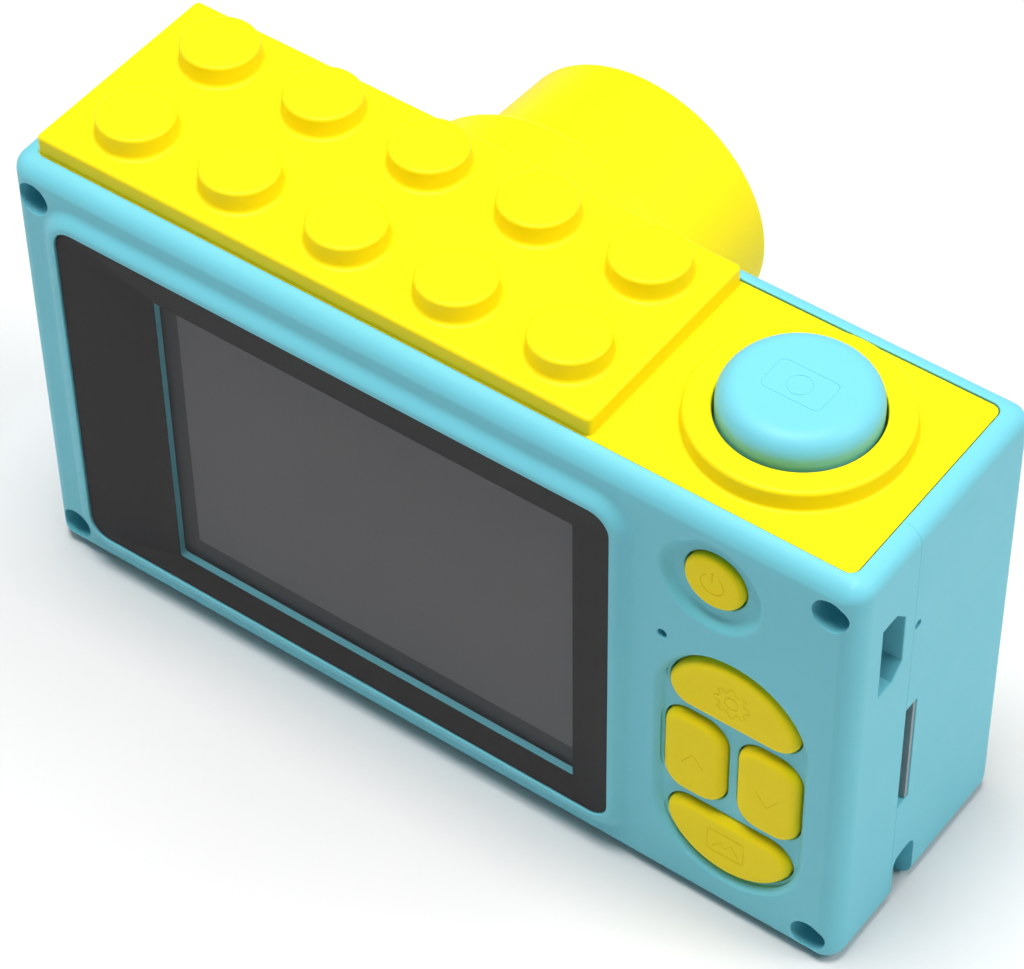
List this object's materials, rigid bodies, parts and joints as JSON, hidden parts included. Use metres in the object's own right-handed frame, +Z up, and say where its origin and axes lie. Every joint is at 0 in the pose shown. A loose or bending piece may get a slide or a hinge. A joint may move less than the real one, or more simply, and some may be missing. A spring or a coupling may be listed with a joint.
{
  "type": "kids digital camera",
  "caption": "Toy digital camera: rounded box case, screen and pressable keys on the back, studded top cover, shutter button and a stepped lens barrel.",
  "frame": {"origin": "under the middle of the whole camera, on the surface it stands on", "axes": "+X to the right seen from the screen, +Y from the screen to the lens, +Z up"},
  "size_m": [0.08, 0.0466, 0.0483],
  "materials": {
    "shell_blue": "satin moulded ABS",
    "cover_yellow": "satin moulded ABS",
    "key_yellow": "satin moulded ABS",
    "window_glass": "clear acrylic with a black printed border",
    "lens_glass": "clear coated lens",
    "lcd": "dark grey polariser, display off",
    "white_plastic": "light diffuser",
    "black_plastic": "fine matte",
    "foam": "closed-cell foam",
    "grey_plastic": "matte grey moulding",
    "steel": "nickel plated",
    "board_green": "solder mask on fibreglass",
    "flex_orange": "polyimide film",
    "pouch_silver": "laminated pouch"
  },
  "bodies": {
    "camera": {"rear_cover": "shell_blue", "front_cover": "shell_blue", "top_cover": "cover_yellow", "case_screws": "steel", "display_window": "window_glass", "lcd_gasket": "foam", "lcd_panel": "lcd", "lcd_backlight": "white_plastic", "lcd_ribbon": "flex_orange", "lens_barrel": "cover_yellow", "lens_trim": "black_plastic", "lens_window": "lens_glass", "lens_baffle": "black_plastic", "lens_holder": "black_plastic", "lens_element": "lens_glass", "image_sensor": "black_plastic", "sensor_board": "board_green", "sensor_screws": "steel", "sensor_ribbon": "flex_orange", "ribbon_connectors": "white_plastic", "shutter_switch": "steel", "shutter_board": "board_green", "key_switches": "steel", "main_board": "board_green", "board_screws": "steel", "board_chips": "black_plastic", "battery": "pouch_silver", "speaker": "black_plastic", "microphone": "steel", "usb_socket": "steel", "usb_tongue": "black_plastic", "card_socket": "grey_plastic", "reset_switch": "black_plastic"},
    "power_key": {"power_button": "key_yellow", "power_plunger": "black_plastic"},
    "settings_key": {"settings_button": "key_yellow", "settings_plunger": "black_plastic"},
    "left_key": {"left_button": "key_yellow", "left_plunger": "black_plastic"},
    "right_key": {"right_button": "key_yellow", "right_plunger": "black_plastic"},
    "gallery_key": {"gallery_button": "key_yellow", "gallery_plunger": "black_plastic"},
    "shutter": {"shutter_button": "shell_blue", "shutter_plunger": "black_plastic"}
  },
  "joints": [
    {"name": "shutter_press", "type": "slide", "parent": "camera", "child": "shutter", "axis": [0, 0, -1], "range_m": [0, 0.001], "stiffness_N_per_m": 1500, "springref_m": -0.0005},
    {"name": "power_press", "type": "slide", "parent": "camera", "child": "power_key", "axis": [0, 1, 0], "range_m": [0, 0.0005], "stiffness_N_per_m": 2000, "springref_m": -0.0004},
    {"name": "settings_press", "type": "slide", "parent": "camera", "child": "settings_key", "axis": [0, 1, 0], "range_m": [0, 0.0005], "stiffness_N_per_m": 2000, "springref_m": -0.0004},
    {"name": "left_press", "type": "slide", "parent": "camera", "child": "left_key", "axis": [0, 1, 0], "range_m": [0, 0.0005], "stiffness_N_per_m": 2000, "springref_m": -0.0004},
    {"name": "right_press", "type": "slide", "parent": "camera", "child": "right_key", "axis": [0, 1, 0], "range_m": [0, 0.0005], "stiffness_N_per_m": 2000, "springref_m": -0.0004},
    {"name": "gallery_press", "type": "slide", "parent": "camera", "child": "gallery_key", "axis": [0, 1, 0], "range_m": [0, 0.0005], "stiffness_N_per_m": 2000, "springref_m": -0.0004}
  ]
}
